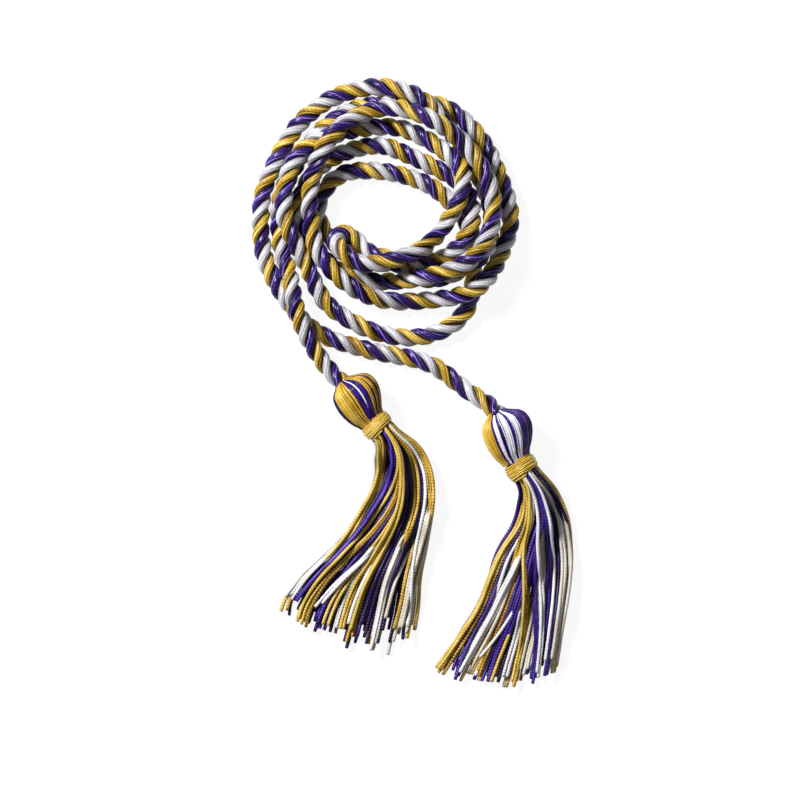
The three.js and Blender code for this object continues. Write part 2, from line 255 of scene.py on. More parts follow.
# ---- materials ----
def rayon(name, painted_shade_colour, dark, body, light, specular, fibres, roughness, bump, groove_shade, pitch, starts, plait):
    """Glossy rayon yarn: fine fibres along the run, painted shade in the grooves and creases, each strand a little
    different.
    """
    material = bpy.data.materials.new(name)
    material.use_nodes = True
    nodes, links = material.node_tree.nodes, material.node_tree.links
    nodes.clear()
    out = nodes.new("ShaderNodeOutputMaterial")
    shader = nodes.new("ShaderNodeBsdfPrincipled")
    links.new(shader.outputs["BSDF"], out.inputs["Surface"])
    shader.inputs["Specular IOR Level"].default_value = specular

    run = nodes.new("ShaderNodeUVMap")
    run.uv_map = "run"
    stretch = nodes.new("ShaderNodeMapping")
    stretch.inputs["Scale"].default_value = (fibres, 0.16, 1.0)
    links.new(run.outputs["UV"], stretch.inputs["Vector"])
    fibre = nodes.new("ShaderNodeTexNoise")
    fibre.inputs["Scale"].default_value = 1.0
    fibre.inputs["Detail"].default_value = 3.0
    fibre.inputs["Roughness"].default_value = 0.6
    links.new(stretch.outputs["Vector"], fibre.inputs["Vector"])

    place = nodes.new("ShaderNodeTexCoord")
    patch = nodes.new("ShaderNodeTexNoise")
    patch.inputs["Scale"].default_value = 90.0
    patch.inputs["Detail"].default_value = 2.0
    links.new(place.outputs["Object"], patch.inputs["Vector"])

    groove = nodes.new("ShaderNodeAttribute")
    groove.attribute_name = "groove"
    tone = nodes.new("ShaderNodeAttribute")
    tone.attribute_name = "tone"
    painted_shade = nodes.new("ShaderNodeAttribute")
    painted_shade.attribute_name = "painted_shade"

    ramp = nodes.new("ShaderNodeValToRGB")
    ramp.color_ramp.elements[0].position, ramp.color_ramp.elements[0].color = 0.28, (*dark, 1)
    ramp.color_ramp.elements[1].position, ramp.color_ramp.elements[1].color = 0.78, (*light, 1)
    middle = ramp.color_ramp.elements.new(0.52)
    middle.color = (*body, 1)

    def maths(kind, a, b):
        node = nodes.new("ShaderNodeMath")
        node.operation = kind
        for k, v in enumerate((a, b)):
            if hasattr(v, "links"):
                links.new(v, node.inputs[k])
            else:
                node.inputs[k].default_value = v
        return node.outputs[0]

    # a fine slanted or chevron pattern: the twist of a yarn, or the loops of a chainette
    axes = nodes.new("ShaderNodeSeparateXYZ")
    links.new(run.outputs["UV"], axes.inputs["Vector"])
    slant = maths("PINGPONG", maths("MULTIPLY", axes.outputs["X"], starts), 1.0)
    turn = maths("ADD", maths("DIVIDE", axes.outputs["Y"], pitch), maths("MULTIPLY", slant, 0.5))
    wave = maths("SINE", maths("MULTIPLY", turn, 2 * math.pi), 0.0)
    wave = maths("MULTIPLY", wave, plait)

    level = maths("ADD", fibre.outputs["Fac"], maths("MULTIPLY", maths("SUBTRACT", patch.outputs["Fac"], 0.5), 0.35))
    level = maths("ADD", level, maths("MULTIPLY", maths("SUBTRACT", tone.outputs["Fac"], 0.5), 0.5))
    # painted shade: the colour is darkened in the grooves between yarns and along laid ridges
    level = maths("SUBTRACT", level, maths("MULTIPLY", groove.outputs["Fac"], groove_shade))
    level = maths("ADD", level, wave)
    links.new(level, ramp.inputs["Fac"])
    # painted shade: the colour goes towards the darkest one where the shading attribute is high, in the creases between
    # plies, on strand sides and on strands lying low
    shaded = nodes.new("ShaderNodeMix")
    shaded.data_type = "RGBA"
    links.new(painted_shade.outputs["Fac"], shaded.inputs[0])
    links.new(ramp.outputs["Color"], shaded.inputs[6])
    shaded.inputs[7].default_value = (*painted_shade_colour, 1)
    links.new(shaded.outputs[2], shader.inputs["Base Color"])

    rough = nodes.new("ShaderNodeMapRange")
    rough.inputs["From Min"].default_value, rough.inputs["From Max"].default_value = 0.3, 0.7
    rough.inputs["To Min"].default_value, rough.inputs["To Max"].default_value = roughness + 0.12, roughness - 0.06
    links.new(fibre.outputs["Fac"], rough.inputs["Value"])
    links.new(rough.outputs["Result"], shader.inputs["Roughness"])

    height = maths("SUBTRACT", fibre.outputs["Fac"], maths("MULTIPLY", groove.outputs["Fac"], 0.3))
    height = maths("ADD", height, maths("MULTIPLY", wave, 2.0))
    relief = nodes.new("ShaderNodeBump")
    relief.inputs["Strength"].default_value = bump
    relief.inputs["Distance"].default_value = 0.00025
    links.new(height, relief.inputs["Height"])
    links.new(relief.outputs["Normal"], shader.inputs["Normal"])
    return material


# The darkest colour of each yarn is that of painted shade; purple's lavender light end also colours the rope's painted
# highlight lines.
COLOURS = {
    "purple": dict(painted_shade_colour=(0.0015, 0.0004, 0.005), dark=(0.006, 0.001, 0.020), body=(0.024, 0.003, 0.130), light=(0.230, 0.160, 0.600), specular=0.34),
    "gold": dict(painted_shade_colour=(0.030, 0.010, 0.001), dark=(0.110, 0.046, 0.002), body=(0.560, 0.350, 0.020), light=(0.770, 0.620, 0.240), specular=0.34),
    "white": dict(painted_shade_colour=(0.042, 0.022, 0.034), dark=(0.300, 0.280, 0.310), body=(0.560, 0.560, 0.600), light=(0.780, 0.780, 0.810), specular=0.45),
}
SLOTS = {c: f"{c}_rayon" for c in COLOURS}
# The white strands' darker colours are warm: painted shade with a painted warm reflection of the gold.
STRAND_COLOURS = {
    "purple": dict(COLOURS["purple"], body=(0.025, 0.004, 0.155), light=(0.100, 0.045, 0.470)),
    "gold": dict(COLOURS["gold"], dark=(0.160, 0.068, 0.004), body=(0.580, 0.360, 0.026), light=(0.680, 0.520, 0.160)),
    "white": dict(COLOURS["white"], painted_shade_colour=(0.150, 0.120, 0.100), dark=(0.560, 0.480, 0.340), body=(0.640, 0.640, 0.680), light=(0.820, 0.820, 0.850)),
}
ROPE_RAYON = {c: rayon(f"{c}_rope", fibres=46.0, roughness=0.26 if c == "purple" else 0.36, bump=0.25 if c == "purple" else 0.4, groove_shade=0.15, pitch=1.1, starts=YARNS * 2.0, plait=0.035, **v) for c, v in COLOURS.items()}
THREAD_RAYON = {c: rayon(f"{c}_thread", fibres=5.0, roughness=0.33, bump=0.4, groove_shade=0.16, pitch=1.0, starts=4.0, plait=0.05, **v) for c, v in STRAND_COLOURS.items()}
STRAND_RAYON = {c: rayon(f"{c}_strand", fibres=7.0, roughness=0.38, bump=0.6, groove_shade=0.16, pitch=1.25, starts=4.0, plait=0.10, **v) for c, v in STRAND_COLOURS.items()}

# ---- camera, straight above, as in the photograph ----
VIEW_MIDDLE = (-4.52 * MM, -6.84 * MM)
VIEW_WIDTH = 0.320
CAMERA_HEIGHT = 3.0
camera = bpy.data.objects.new("camera", bpy.data.cameras.new("camera"))
camera.location = (*VIEW_MIDDLE, CAMERA_HEIGHT)
camera.data.sensor_width = 36.0
camera.data.lens = 36.0 * (CAMERA_HEIGHT - 0.006) / VIEW_WIDTH
camera.data.clip_start, camera.data.clip_end = 0.1, 50.0
bpy.context.scene.collection.objects.link(camera)
bpy.context.scene.camera = camera


# ---- rope ----
def rope_line():
    """Middle line of the rope in mm, with the twist in turns, in even steps."""
    rows = np.array(ROUTE)
    a = np.radians(rows[:, 0])
    control = np.stack([COIL_MIDDLE[0] + rows[:, 1] * np.cos(a), COIL_MIDDLE[1] + rows[:, 1] * np.sin(a), rows[:, 2], rows[:, 3]], 1)
    spans = len(control) - 3
    t = np.linspace(0, spans, 12000)
    i = np.minimum(t.astype(int), spans - 1)
    f = (t - i)[:, None]
    w = [(1 - f) ** 3, 3 * f ** 3 - 6 * f ** 2 + 4, -3 * f ** 3 + 3 * f ** 2 + 3 * f + 1, f ** 3]
    line = sum(k * control[i + j] for j, k in enumerate(w)) / 6
    # each end runs on a little way into its tassel
    head = line[0] + (line[0] - line[40]) / np.linalg.norm((line[0] - line[40])[:3]) * np.array([4.0, 3.0, 2.0])[:, None]
    tail = line[-1] + (line[-1] - line[-41]) / np.linalg.norm((line[-1] - line[-41])[:3]) * np.array([2.0, 3.0, 4.0])[:, None]
    line = np.concatenate([head, line, tail])
    along = distance(line[:, :3])
    s = np.linspace(0, along[-1], int(along[-1] / ROPE_STEP))
    return np.stack([np.interp(s, along, line[:, k]) for k in range(4)], 1)


def ply(tubes, line, offset, seed, painted_highlight):
    """One ply: a bundle of yarns that winds about the rope's middle line."""
    rng = np.random.default_rng(seed)
    middle, turn = line[:, :3], line[:, 3]
    s = distance(middle)
    _, up, side = frame_along(middle, np.array([0, 0, 1.0]))
    phase = (turn * 2 * np.pi + math.radians(offset))[:, None]
    outward = np.cos(phase) * up + np.sin(phase) * side
    centre = middle + outward * (PLY_OFFSET + 0.05 * smooth_noise(rng, len(s), s[-1], 14.0)[:, None])
    _, out, across = frame_along(centre, outward)
    width = rng.uniform(0.75, 1.3, YARNS)
    edges = np.r_[0, np.cumsum(width)] / width.sum() * 2 * np.pi
    angle = np.concatenate([edges[k] + (edges[k + 1] - edges[k]) * np.array([0.0, 0.22, 0.5, 0.78]) for k in range(YARNS)])
    dip = np.tile([1.0, 0.28, 0.0, 0.28], YARNS)
    depth = np.repeat(rng.uniform(0.07, 0.15, YARNS), 4)
    swell = np.stack([smooth_noise(rng, len(s), s[-1], 9.0) for _ in range(YARNS)], 1)
    turned = angle[None] - 2 * np.pi * s[:, None] * 0.010 + 0.10 * smooth_noise(rng, len(s), s[-1], 20.0)[:, None]
    scale = (1 - depth * dip)[None] * (1 + 0.030 * np.repeat(swell, 4, axis=1))
    c, d = np.cos(turned), np.sin(turned)
    rings = centre[:, None] + out[:, None] * (PLY_RADIAL * scale * c)[..., None] + across[:, None] * (PLY_ACROSS * scale * d)[..., None]
    # painted shade: darker the nearer a point lies to the rope's middle line, on the sides of each ply where it meets
    # the others, as shade in the creases
    reach = np.linalg.norm(rings - middle[:, None], axis=2)
    painted_shade = np.clip((3.64 - reach) / 1.36, 0, 1) ** 1.1
    tone = 0.5 + np.repeat(rng.uniform(-0.14, 0.14, YARNS), 4)[None] + 0.10 * np.repeat(np.roll(swell, 3, axis=1), 4, axis=1)
    # three of the yarns are lighter along their crests: thin lines of painted highlight
    tone[:, [2, 14, 22]] += painted_highlight * (1 + 0.3 * swell[:, [0, 3, 5]])
    tubes.add(rings, s, dip[None], tone, painted_shade)


# The last number of each ply is how much painted highlight its three lighter yarns get.
PLIES = [("purple", 0.0, 11, 0.60), ("white", -120.0, 12, 0.25), ("gold", -240.0, 13, 0.40)]
line = rope_line()
for colour, offset, seed, painted_highlight in PLIES:
    tubes = Tubes()
    ply(tubes, line, offset, seed, painted_highlight)
    tubes.object(f"rope_{colour}", ROPE_RAYON[colour], SLOTS[colour])
    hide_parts("rope")


# ---- tassels ----
def axes_of(start, end):
    """Direction of an axis, the way across it towards the photograph's right, and the way up from it."""
    axis = unit(np.array(end) - np.array(start))
    across = unit(np.array([-axis[1], axis[0], 0.0]))
    up = np.cross(axis, across)
    return axis, across, up if up[2] > 0 else -up


def shade_at(bands, degrees):
    degrees = (degrees + 90) % 360 - 90
    for end, shade in bands:
        if degrees <= end:
            return shade
    return bands[-1][1]


def head(kit, side, parts, rng):
    """Threads that bulge from the rope's end to the neck, over a core."""
    start, end = np.array(kit["head_top"]), np.array(kit["head_end"])
    axis, across, up = axes_of(start, end)
    size = np.linalg.norm(end - start)
    profile = np.array(HEAD_PROFILE)
    t = np.linspace(-0.05, 1.03, 40)
    radius = np.interp(t, profile[:, 0], profile[:, 1]) * kit["head_radius"]
    radius = np.where(t < 0.02, 3.3 + (t + 0.05) * 12, radius)
    radius = np.convolve(np.r_[[radius[0]] * 2, radius, [radius[-1]] * 2], np.ones(5) / 5, "valid")
    lean = (HEAD_LEAN * np.sin(np.pi * np.clip((t + 0.08) / 0.95, 0, 1) ** 0.75))[:, None] * across
    # core, dark purple with full groove darkening and a low tone: painted shade seen in the gaps between the threads
    ring = np.arange(28) * 2 * np.pi / 28
    core = start + lean[:, None] + (t[:, None, None] * size) * axis + (radius[:, None, None] - 0.75) * (
        np.cos(ring)[None, :, None] * up + np.sin(ring)[None, :, None] * across)
    parts["purple"].add(core[:, ::-1], t * size, 1.0, 0.1)
    threads = 104
    order = np.sort(rng.uniform(0, 0.25, threads) + np.arange(threads)) / threads * 360 - 90
    for k, degrees in enumerate(order):
        shade = shade_at(HEAD_BANDS[side], degrees)
        colour, tone = SHADES[shade]
        b = math.radians(degrees) + 0.03 * smooth_noise(rng, len(t), size, 8.0)
        r = radius - 0.35 + rng.uniform(-0.12, 0.16) + 0.10 * smooth_noise(rng, len(t), size, 7.0)
        if shade == "painted_glint":        # a white thread as painted highlight along the purple band, going under the others before it reaches the neck
            r = r - 0.9 * np.clip((t - 0.60) / 0.15, 0, 1)
        path = start + lean + (t * size)[:, None] * axis + r[:, None] * (np.cos(b)[:, None] * up + np.sin(b)[:, None] * across)
        thick = np.clip(0.37 * radius / kit["head_radius"] + 0.02, 0.18, 0.40) * rng.uniform(0.9, 1.15)
        strand(parts[colour], path, thick, 6, tone=tone + rng.uniform(-0.12, 0.12), hint=up)


def binding(kit, parts, rng):
    """Gold thread wound round the neck in two layers."""
    start, end = np.array(kit["head_end"]), np.array(kit["neck_end"])
    axis, across, up = axes_of(start, end)
    size = np.linalg.norm(end - start)
    for layer, (wraps, first, last) in enumerate([(8, 0.02, 0.98), (5, 0.25, 0.80)]):
        turn = np.linspace(0, wraps * 2 * np.pi, int(wraps * 44))
        f = turn / turn[-1]
        where = first + (last - first) * f + 0.02 * smooth_noise(rng, len(f), wraps, 0.35)
        if layer:
            where = where + 0.05 * np.sin(turn * 0.5)
        barrel = 1 - 0.07 * (2 * where - 1) ** 2
        r = (kit["neck_radius"] - 0.30 + 0.28 * layer) * barrel
        path = start + (where * size)[:, None] * axis + r[:, None] * (np.cos(turn)[:, None] * up + np.sin(turn)[:, None] * across)
        strand(parts, path, 0.43, 8, tone=0.70 + 0.12 * layer, hint=axis, ridge=0.05, lay=1.3)


# Locks of strands that show in each skirt. Columns: shade, strands side by side, share of the width from the left
# edge at 0, 20, 40, 60, 80 and 100% of the length, how high they lie, and where they are cut.
# A height of three numbers is one that changes, from the first to the second, at that share of the length.
# Many of these shades are lit and shaded copies of the yarn colours, painted light and shade, as SHADES tells.
LOCKS = {
    "left": [
        ("white", 3, (0.00, -0.03, 0.04, 0.02, 0.045, 0.05), 0.90, 0.91),
        ("lit_gold", 1, (0.10, 0.04, 0.00, 0.07, 0.05, 0.03), (0.97, 0.80, 0.66), 1.00),
        ("gold", 1, (0.14, 0.06, 0.02, 0.05, 0.06, 0.06), (0.96, 0.78, 0.64), 0.99),
        ("lit_gold", 1, (0.19, 0.09, 0.05, 0.165, 0.16, 0.15), 0.935, 0.98),
        ("gold", 2, (0.25, 0.12, 0.08, 0.19, 0.185, 0.17), 0.930, 0.98),
        ("lit_gold", 1, (0.31, 0.15, 0.10, 0.205, 0.20, 0.20), 0.940, 0.97),
        ("shaded_gold", 1, (0.35, 0.17, 0.12, 0.20, 0.215, 0.22), 0.925, 0.96),
        ("dark", 1, (0.46, 0.235, 0.095, 0.120, 0.095, 0.075), 0.960, 0.90),
        ("purple", 1, (0.50, 0.27, 0.135, 0.130, 0.11, 0.09), 0.965, 0.90),
        ("lit_purple", 1, (0.53, 0.31, 0.170, 0.140, 0.125, 0.105), 0.970, 0.89),
        ("purple", 1, (0.57, 0.35, 0.205, 0.150, 0.14, 0.12), 0.955, 0.91),
        ("dark", 1, (0.59, 0.38, 0.23, 0.155, 0.15, 0.13), 0.945, 0.92),
        ("lit_gold", 1, (0.63, 0.435, 0.245, 0.185, 0.175, 0.165), 0.980, 0.96),
        ("dark", 1, (0.62, 0.455, 0.275, 0.215, 0.235, 0.235), 0.950, 0.94),
        ("dark", 1, (0.63, 0.465, 0.315, 0.225, 0.255, 0.25), 0.948, 0.93),
        ("purple", 1, (0.63, 0.47, 0.35, 0.31, 0.29, 0.28), 0.946, 0.93),
        ("gold", 1, (0.64, 0.48, 0.385, 0.245, 0.205, 0.19), 0.965, 0.99),
        ("lit_gold", 1, (0.64, 0.48, 0.410, 0.260, 0.22, 0.205), 0.968, 0.97),
        ("shaded_gold", 1, (0.64, 0.48, 0.435, 0.275, 0.235, 0.22), 0.955, 0.98),
        ("dark", 2, (0.65, 0.49, 0.43, 0.295, 0.255, 0.26), 0.945, 0.95),
        ("purple", 2, (0.65, 0.50, 0.475, 0.345, 0.335, 0.31), 0.950, 0.96),
        ("purple", 2, (0.66, 0.51, 0.50, 0.385, 0.375, 0.35), 0.940, 0.98),
        ("lit_gold", 1, (0.66, 0.515, 0.515, 0.415, 0.35, 0.33), 0.953, 0.96),
        ("white", 2, (0.66, 0.54, 0.53, 0.445, 0.305, 0.20), (0.86, 0.990, 0.57), 0.885),
        ("dark", 1, (0.66, 0.54, 0.54, 0.46, 0.41, 0.41), 0.920, 0.97),
        ("white", 1, (0.66, 0.54, 0.54, 0.475, 0.43, 0.44), (0.88, 0.960, 0.62), 0.97),
        ("lit_gold", 1, (0.66, 0.54, 0.54, 0.47, 0.395, 0.375), (0.87, 0.945, 0.66), 0.98),
        ("shaded_gold", 1, (0.67, 0.52, 0.53, 0.50, 0.46, 0.465), 0.930, 0.95),
        ("lit_gold", 1, (0.67, 0.48, 0.515, 0.495, 0.48, 0.48), 0.975, 0.96),
        ("gold", 1, (0.68, 0.49, 0.530, 0.520, 0.50, 0.50), 0.965, 0.97),
        ("white", 1, (0.68, 0.52, 0.55, 0.535, 0.52, 0.515), (0.88, 0.958, 0.70), 0.93),
        ("gold", 1, (0.69, 0.49, 0.545, 0.545, 0.54, 0.53), 0.960, 0.98),
        ("lit_gold", 1, (0.69, 0.50, 0.565, 0.570, 0.56, 0.55), 0.972, 0.98),
        ("gold", 1, (0.70, 0.51, 0.585, 0.590, 0.575, 0.57), 0.955, 0.99),
        ("shaded_gold", 1, (0.70, 0.53, 0.600, 0.610, 0.59, 0.585), 0.940, 0.95),
        ("purple", 1, (0.72, 0.56, 0.635, 0.625, 0.61, 0.60), 0.950, 0.97),
        ("dark", 3, (0.73, 0.57, 0.650, 0.645, 0.645, 0.63), 0.945, 0.96),
        ("dark", 2, (0.74, 0.59, 0.665, 0.670, 0.675, 0.66), 0.935, 0.98),
        ("shaded_gold", 1, (0.76, 0.64, 0.715, 0.700, 0.70, 0.69), (0.950, 0.88, 0.55), 0.97),
        ("gold", 1, (0.78, 0.68, 0.735, 0.72, 0.72, 0.71), (0.958, 0.89, 0.56), 0.98),
        ("lit_gold", 1, (0.80, 0.71, 0.755, 0.74, 0.73, 0.73), (0.964, 0.90, 0.58), 0.97),
        ("gold", 1, (0.82, 0.745, 0.775, 0.755, 0.75, 0.75), (0.960, 0.89, 0.60), 0.99),
        ("shaded_gold", 1, (0.83, 0.78, 0.795, 0.765, 0.76, 0.76), 0.925, 0.98),
        ("shaded_white", 1, (0.80, 0.70, 0.74, 0.700, 0.71, 0.715), (0.90, 0.970, 0.51), 0.98),
        ("white", 1, (0.80, 0.70, 0.75, 0.725, 0.73, 0.73), (0.89, 0.966, 0.55), 0.99),
        ("shaded_white", 1, (0.80, 0.71, 0.76, 0.750, 0.75, 0.745), (0.89, 0.960, 0.58), 0.99),
        ("dark", 1, (0.84, 0.82, 0.825, 0.785, 0.785, 0.775), 0.962, 0.96),
        ("dark", 2, (0.84, 0.84, 0.850, 0.810, 0.80, 0.79), 0.955, 0.95),
        ("dark", 2, (0.86, 0.85, 0.865, 0.830, 0.838, 0.83), 0.940, 0.97),
        ("shaded_white", 1, (0.88, 0.84, 0.84, 0.850, 0.805, 0.77), (0.86, 0.985, 0.60), 0.95),
        ("gold", 1, (0.88, 0.84, 0.84, 0.850, 0.875, 0.84), (0.86, 0.978, 0.54), 0.99),
        ("white", 1, (0.86, 0.885, 0.890, 0.890, 0.950, 0.955), 0.988, 0.98),
        ("dark", 1, (0.90, 0.92, 0.920, 0.915, 0.905, 0.91), 0.958, 0.95),
        ("dark", 1, (0.90, 0.91, 0.910, 0.900, 0.890, 0.90), 0.930, 0.94),
        ("shaded_white", 4, (0.95, 0.96, 0.965, 0.940, 0.925, 0.90), (0.84, 0.968, 0.375), 0.98),
        ("shaded_gold", 1, (0.93, 0.94, 0.945, 0.96, 0.97, 0.97), (0.972, 0.90, 0.36), 0.99),
        ("gold", 3, (0.99, 1.00, 0.975, 0.975, 0.985, 0.985), (0.962, 0.93, 0.38), 1.00),
        ("lit_gold", 1, (1.03, 1.05, 1.00, 0.995, 1.00, 1.00), (0.968, 0.95, 0.39), 1.00),
        ("purple", 2, (0.50, 0.50, 0.52, 0.55, 0.55, 0.545), 0.10, 1.01),
        ("purple", 1, (0.62, 0.62, 0.62, 0.62, 0.61, 0.61), 0.14, 1.00),
        ("purple", 1, (0.80, 0.80, 0.80, 0.80, 0.78, 0.77), 0.12, 1.01),
        ("white", 2, (0.88, 0.88, 0.88, 0.89, 0.88, 0.88), 0.20, 1.01),
        ("purple", 2, (0.40, 0.40, 0.32, 0.32, 0.32, 0.31), 0.15, 1.00),
        ("white", 1, (0.40, 0.40, 0.36, 0.36, 0.37, 0.37), 0.18, 0.99),
    ],
    "right": [
        ("purple", 4, (0.02, -0.02, 0.06, 0.135, 0.145, 0.21), 0.80, 0.98),
        ("dark", 1, (0.08, 0.07, 0.04, 0.10, 0.12, 0.20), 0.82, 0.98),
        ("lit_gold", 1, (0.14, 0.115, 0.025, 0.025, 0.025, 0.02), 0.940, 1.00),
        ("lit_gold", 1, (0.17, 0.145, 0.045, 0.045, 0.045, 0.045), 0.950, 1.00),
        ("shaded_gold", 1, (0.19, 0.165, 0.06, 0.060, 0.06, 0.06), 0.945, 1.00),
        ("gold", 2, (0.20, 0.175, 0.08, 0.080, 0.085, 0.08), 0.935, 1.00),
        ("shaded_gold", 1, (0.22, 0.20, 0.115, 0.105, 0.11, 0.10), 0.925, 0.99),
        ("dark", 1, (0.24, 0.22, 0.155, 0.135, 0.15, 0.19), 0.945, 0.99),
        ("purple", 1, (0.28, 0.26, 0.22, 0.155, 0.155, 0.21), 0.952, 1.00),
        ("gold", 2, (0.24, 0.23, 0.285, 0.30, 0.33, 0.36), (0.972, 0.90, 0.44), 0.98),
        ("lit_gold", 1, (0.28, 0.275, 0.315, 0.33, 0.35, 0.38), (0.976, 0.91, 0.44), 0.98),
        ("lit_gold", 1, (0.30, 0.275, 0.365, 0.495, 0.62, 0.66), 1.000, 1.02),
        ("gold", 1, (0.29, 0.285, 0.385, 0.520, 0.645, 0.68), 0.992, 1.01),
        ("gold", 1, (0.30, 0.29, 0.375, 0.540, 0.665, 0.70), 0.935, 0.99),
        ("white", 1, (0.34, 0.31, 0.18, 0.185, 0.18, 0.14), (0.958, 0.930, 0.60), 0.96),
        ("white", 2, (0.36, 0.335, 0.325, 0.22, 0.205, 0.195), 0.960, 0.97),
        ("dark", 1, (0.35, 0.33, 0.24, 0.245, 0.235, 0.23), 0.935, 0.95),
        ("lit_gold", 1, (0.35, 0.33, 0.27, 0.270, 0.265, 0.25), 0.930, 0.99),
        ("shaded_white", 1, (0.36, 0.33, 0.29, 0.295, 0.295, 0.28), 0.925, 0.97),
        ("lit_gold", 1, (0.36, 0.34, 0.35, 0.320, 0.315, 0.31), 0.920, 0.98),
        ("white", 1, (0.37, 0.34, 0.36, 0.34, 0.335, 0.33), 0.915, 0.98),
        ("shaded_gold", 1, (0.37, 0.35, 0.38, 0.355, 0.355, 0.37), 0.910, 0.98),
        ("dark", 2, (0.38, 0.36, 0.40, 0.375, 0.37, 0.385), 0.900, 0.97),
        ("purple", 3, (0.48, 0.47, 0.43, 0.43, 0.43, 0.44), 0.930, 0.98),
        ("purple", 3, (0.52, 0.50, 0.49, 0.45, 0.45, 0.46), 0.925, 0.98),
        ("lit_gold", 1, (0.50, 0.50, 0.47, 0.46, 0.48, 0.48), (0.86, 0.945, 0.72), 0.99),
        ("shaded_gold", 1, (0.50, 0.50, 0.48, 0.47, 0.50, 0.50), 0.90, 0.98),
        ("dark", 2, (0.52, 0.52, 0.50, 0.49, 0.525, 0.545), 0.905, 0.98),
        ("white", 1, (0.50, 0.50, 0.50, 0.485, 0.56, 0.575), (0.88, 0.955, 0.64), 0.99),
        ("white", 1, (0.50, 0.50, 0.50, 0.50, 0.585, 0.60), (0.88, 0.950, 0.66), 0.97),
        ("white", 1, (0.37, 0.41, 0.555, 0.68, 0.80, 0.85), 0.975, 0.98),
        ("white", 1, (0.41, 0.45, 0.585, 0.72, 0.825, 0.86), 0.982, 0.98),
        ("white", 1, (0.33, 0.36, 0.34, 0.27, 0.24, 0.22), 0.938, 0.98),
        ("white", 1, (0.44, 0.44, 0.46, 0.475, 0.37, 0.23), (0.84, 0.998, 0.65), 0.885),
        ("dark", 1, (0.52, 0.49, 0.52, 0.56, 0.59, 0.60), 0.890, 0.98),
        ("purple", 2, (0.50, 0.53, 0.535, 0.61, 0.77, 0.82), 0.970, 0.99),
        ("shaded_white", 1, (0.57, 0.525, 0.615, 0.64, 0.69, 0.71), 0.945, 0.98),
        ("shaded_gold", 1, (0.58, 0.54, 0.63, 0.65, 0.70, 0.72), 0.920, 0.99),
        ("shaded_white", 2, (0.58, 0.55, 0.65, 0.67, 0.72, 0.74), 0.940, 0.98),
        ("dark", 1, (0.60, 0.57, 0.68, 0.70, 0.74, 0.76), 0.930, 0.98),
        ("purple", 2, (0.56, 0.62, 0.72, 0.775, 0.835, 0.85), 0.955, 0.98),
        ("dark", 2, (0.60, 0.64, 0.735, 0.79, 0.855, 0.87), 0.950, 0.99),
        ("white", 1, (0.60, 0.655, 0.775, 0.83, 0.88, 0.90), 0.984, 0.97),
        ("purple", 2, (0.56, 0.70, 0.82, 0.865, 0.91, 0.93), 0.965, 0.98),
        ("dark", 2, (0.62, 0.76, 0.855, 0.89, 0.93, 0.945), 0.960, 0.97),
        ("shaded_white", 2, (0.70, 0.84, 0.900, 0.925, 0.955, 0.96), 0.962, 0.96),
        ("dark", 1, (0.76, 0.88, 0.930, 0.950, 0.95, 0.94), 0.945, 0.98),
        ("shaded_white", 3, (0.76, 0.88, 0.970, 0.980, 0.98, 0.975), 0.955, 0.97),
        ("dark", 2, (0.83, 0.93, 0.985, 0.99, 0.96, 0.93), (0.975, 0.88, 0.27), 0.98),
        ("gold", 3, (0.95, 1.00, 0.99, 0.97, 0.98, 0.985), (0.970, 0.85, 0.25), 0.97),
        ("shaded_gold", 1, (0.90, 0.97, 0.99, 0.97, 0.96, 0.965), (0.965, 0.83, 0.24), 0.99),
        ("dark", 2, (0.45, 0.45, 0.48, 0.50, 0.55, 0.56), 0.30, 1.00),
        ("gold", 2, (0.60, 0.60, 0.58, 0.61, 0.60, 0.60), 0.30, 0.99),
        ("purple", 2, (0.30, 0.30, 0.35, 0.36, 0.37, 0.36), 0.15, 1.00),
        ("white", 2, (0.66, 0.66, 0.68, 0.68, 0.60, 0.62), 0.20, 1.00),
    ],
}
# Each shade is one of the three yarn colours, lighter or darker. Apart from white, purple and gold themselves, they are
# lit and shaded copies, painted light and shade: the lighter gold is painted sheen, the lightest purple and the
# brightest white are painted highlight, the darkest gold and purple are painted shade, and the darkest white is painted
# shade with a painted warm reflection of the gold.
SHADES = {"white": ("white", 0.66), "shaded_white": ("white", 0.16), "lit_purple": ("purple", 0.86), "purple": ("purple", 0.54),
          "dark": ("purple", 0.15), "lit_gold": ("gold", 0.76), "gold": ("gold", 0.48), "shaded_gold": ("gold", 0.14),
          "painted_glint": ("white", 0.80)}
UNDER_STRANDS = {"left": 28, "right": 22}
STRAND_RADIUS = 0.76
NECK_STRAND_RADIUS = 0.50
SKIRT_STEP = 1.05


def skirt_rows(kit):
    """Rows of the skirt's outer form as a function of the share of its length."""
    rows = np.array(kit["skirt"])
    middle = (rows[:, 0:2] + rows[:, 2:4]) / 2
    share = distance(middle)
    length = share[-1]
    share = share / length
    slope = np.gradient(rows, share, axis=0)

    def at(t):
        t = np.asarray(t, float)
        k = np.clip(np.searchsorted(share, t, "right") - 1, 0, len(share) - 2)
        h = (share[k + 1] - share[k])[:, None]
        x = ((t - share[k]) / h[:, 0])[:, None]
        e = np.clip(x, 0, 1)
        y = ((2 * e ** 3 - 3 * e ** 2 + 1) * rows[k] + (e ** 3 - 2 * e ** 2 + e) * h * slope[k]
             + (-2 * e ** 3 + 3 * e ** 2) * rows[k + 1] + (e ** 3 - e ** 2) * h * slope[k + 1])
        return y + (x - e) * h * np.where(x < 0, slope[k], slope[k + 1])

    return at, length


